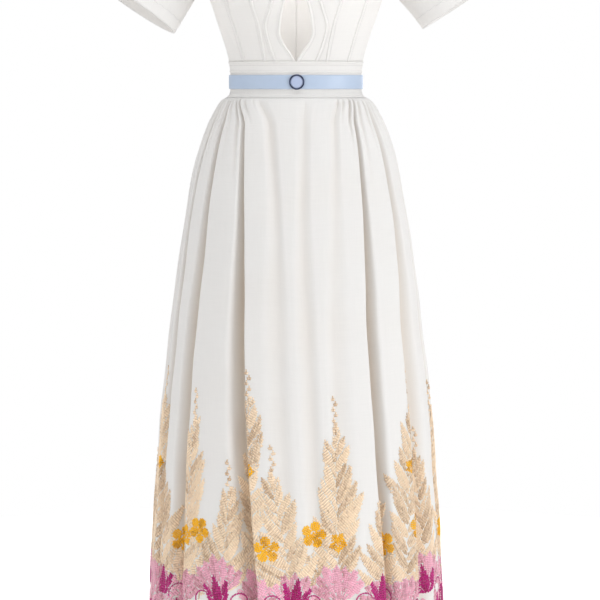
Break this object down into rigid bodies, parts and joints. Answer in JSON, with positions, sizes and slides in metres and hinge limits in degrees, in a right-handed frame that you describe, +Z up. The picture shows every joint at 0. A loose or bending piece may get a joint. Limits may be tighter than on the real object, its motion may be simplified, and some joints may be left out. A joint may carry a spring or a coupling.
{
  "type": "short-sleeved floor-length gown with a belt",
  "caption": "White floor-length gown with a fitted seamed bodice, leaf keyhole, short set-in sleeves, narrow blue belt with a ring buckle and gathered skirt, in its worn form.",
  "frame": {"origin": "midway between the middles of the two shoulder seams, where the wearer's shoulders hold the gown", "axes": "+Z up the body, -Y out of the gown's front, +X towards the wearer's left"},
  "size_m": [0.736, 0.5245, 1.4913],
  "materials": {
    "cloth": "fine white plain weave with a soft sheen",
    "belt": "smooth pale blue, satin",
    "buckle_metal": "dark slate, polished",
    "buckle_enamel": "plain pale lilac-blue enamel",
    "beads_sand": "small sand-coloured glass beads",
    "beads_amber": "small amber glass beads",
    "beads_pink": "small pink glass beads",
    "beads_magenta": "small magenta glass beads"
  },
  "bodies": {
    "root": {"bodice_front_inner_left": "cloth", "bodice_front_inner_right": "cloth", "bodice_front_middle_left": "cloth", "bodice_front_middle_right": "cloth", "bodice_front_outer_left": "cloth", "bodice_front_outer_right": "cloth", "bodice_side_front_left": "cloth", "bodice_side_front_right": "cloth", "bodice_back_left": "cloth", "bodice_back_right": "cloth", "sleeve_left": "cloth", "sleeve_right": "cloth", "waistband_front": "cloth", "waistband_back_left": "cloth", "waistband_back_right": "cloth", "belt": "belt", "buckle_ring": "buckle_metal", "buckle_disc": "buckle_enamel", "skirt_front": "cloth", "skirt_back_left": "cloth", "skirt_back_right": "cloth"}
  },
  "joints": []
}
